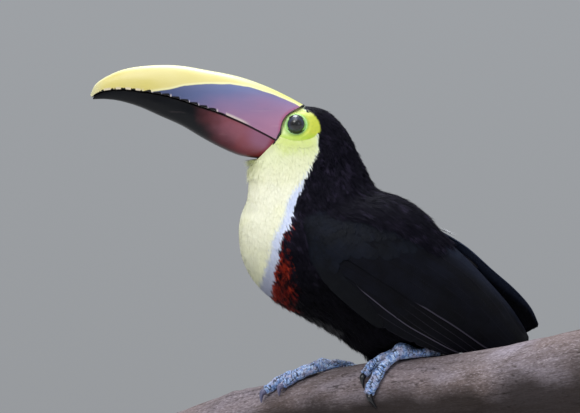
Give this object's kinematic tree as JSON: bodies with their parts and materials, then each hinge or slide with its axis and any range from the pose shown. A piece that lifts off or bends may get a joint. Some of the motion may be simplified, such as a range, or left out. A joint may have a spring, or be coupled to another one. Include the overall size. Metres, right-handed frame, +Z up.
{
  "type": "toucan",
  "caption": "Life-size toucan with a long curved bill, crouched with folded wings on a cut length of weathered branch, held by rods on an oval display base.",
  "frame": {"origin": "centre of the display base's underside", "axes": "+Z up; the bird's bill points along -X and its left side faces -Y"},
  "size_m": [0.4555, 0.3115, 0.3964],
  "materials": {
    "plumage": "soft black plumage with a cream-yellow bib, a white and a red band, and bare yellow-green face skin",
    "flight_feathers": "smooth blue-black feathers with a faint grey sheen",
    "horn_upper": "polished horn, yellow above and mauve to slate blue on the side",
    "horn_lower": "polished horn, black at the tip and chestnut red at the base",
    "eye": "wet and dark",
    "leg_skin": "pale blue scaly skin",
    "claw": "dark horn",
    "bark": "weathered bare wood, grey-brown",
    "stand_wood": "dark satin hardwood",
    "stand_steel": "brushed"
  },
  "bodies": {
    "root": {"perch_branch": "bark", "bill_upper": "horn_upper", "bill_lower": "horn_lower", "eye_left": "eye", "tarsus_left": "leg_skin", "toe_left_outer_front": "leg_skin", "toe_left_inner_front": "leg_skin", "toe_left_outer_back": "leg_skin", "toe_left_inner_back": "leg_skin", "claw_left_outer_front": "claw", "claw_left_inner_front": "claw", "claw_left_outer_back": "claw", "claw_left_inner_back": "claw", "eye_right": "eye", "tarsus_right": "leg_skin", "toe_right_outer_front": "leg_skin", "toe_right_inner_front": "leg_skin", "toe_right_outer_back": "leg_skin", "toe_right_inner_back": "leg_skin", "claw_right_outer_front": "claw", "claw_right_inner_front": "claw", "claw_right_outer_back": "claw", "claw_right_inner_back": "claw", "wing_left": "flight_feathers", "wing_right": "flight_feathers", "tail": "flight_feathers", "head": "plumage", "neck": "plumage", "trunk": "plumage", "rump": "plumage", "thigh_left": "plumage", "thigh_right": "plumage", "stand_base": "stand_wood", "stand_rod_back": "stand_steel", "stand_rod_front": "stand_steel"}
  },
  "joints": []
}
